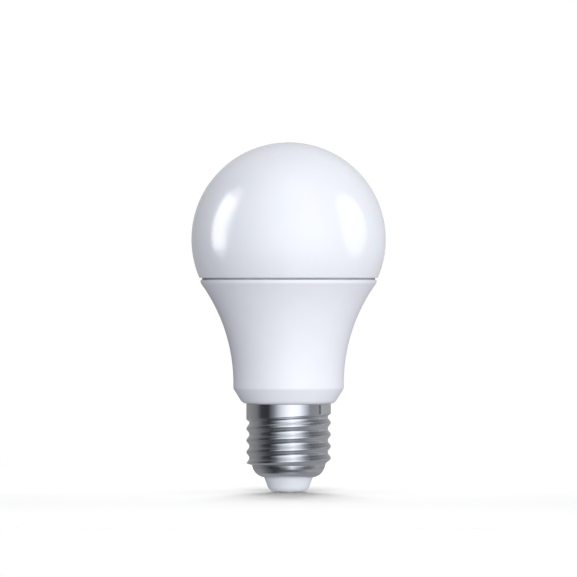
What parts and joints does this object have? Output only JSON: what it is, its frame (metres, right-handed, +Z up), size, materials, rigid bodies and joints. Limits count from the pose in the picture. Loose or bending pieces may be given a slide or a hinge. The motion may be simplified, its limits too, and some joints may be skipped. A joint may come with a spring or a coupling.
{
  "type": "smart light bulb",
  "caption": "Round-globe LED lamp with an opal globe, flared white housing, radio driver board inside and a screw cap for mains lampholders.",
  "frame": {"origin": "centre of the underside of the centre contact, the lamp's lowest point as it stands", "axes": "+Z up the lamp's axis from the cap to the top of the globe; +X to the right and +Y away in the front view; a turned part"},
  "size_m": [0.06, 0.06, 0.108],
  "materials": {
    "opal_diffuser": "smooth gloss, opal white",
    "silicone": "satin, grey in the seam's shade",
    "housing_plastic": "satin moulded white",
    "nickel_plate": "bright nickel plate, polished, dark reflections",
    "insulator_plastic": "smooth white",
    "contact_metal": "bright, lightly brushed",
    "aluminium": "drawn sheet, satin",
    "thermal_compound": "matte grey paste",
    "white_mask": "white solder mask",
    "screw_steel": "zinc-plated",
    "emitter_body": "moulded white",
    "phosphor_warm": "soft resin, orange",
    "phosphor_cool": "soft resin, yellow",
    "clear_resin": "clear resin",
    "black_plastic": "moulded black",
    "gold_pin": "gold flash, smooth",
    "green_board": "green solder mask over glass fibre",
    "blue_board": "blue solder mask over glass fibre",
    "tin_can": "tin-plated, satin",
    "copper": "enamelled copper",
    "capacitor_sleeve": "shrunk plastic sleeve",
    "film_box": "moulded yellow box",
    "ferrite": "matte, slightly grainy",
    "winding_tape": "thin yellow tape",
    "resistor_body": "matte green coating",
    "varistor_body": "dipped blue coating",
    "chip_ceramic": "fired ceramic",
    "solder": "bright solder",
    "wire_red": "insulation",
    "wire_white": "insulation"
  },
  "bodies": {
    "root": {"diffuser": "opal_diffuser", "seam_adhesive": "silicone", "housing": "housing_plastic", "heat_sink": "aluminium", "thermal_paste": "thermal_compound", "led_board": "white_mask", "board_screws": "screw_steel", "warm_white_leds": "emitter_body", "cool_white_leds": "emitter_body", "warm_phosphor": "phosphor_warm", "cool_phosphor": "phosphor_cool", "rgb_leds": "emitter_body", "rgb_lenses": "clear_resin", "header_block": "black_plastic", "header_pins": "gold_pin", "driver_board": "green_board", "wifi_board": "blue_board", "wifi_chip": "black_plastic", "wifi_shield": "tin_can", "wifi_antenna": "copper", "wifi_pins": "gold_pin", "bulk_capacitor": "capacitor_sleeve", "output_capacitor": "capacitor_sleeve", "film_capacitor": "film_box", "choke_core": "ferrite", "choke_winding": "copper", "inductor_core": "ferrite", "inductor_winding": "copper", "transformer_core": "ferrite", "transformer_bobbin": "black_plastic", "transformer_winding": "winding_tape", "transformer_pins": "tin_can", "bridge_rectifier": "black_plastic", "fuse_resistor": "resistor_body", "varistor": "varistor_body", "driver_ic": "black_plastic", "led_driver_ics": "black_plastic", "diodes": "black_plastic", "chip_resistors": "black_plastic", "chip_capacitors": "chip_ceramic", "solder_joints": "solder", "live_wire": "wire_red", "neutral_wire": "wire_white", "screw_shell": "nickel_plate", "cap_insulator": "insulator_plastic", "centre_contact": "contact_metal"}
  },
  "joints": []
}
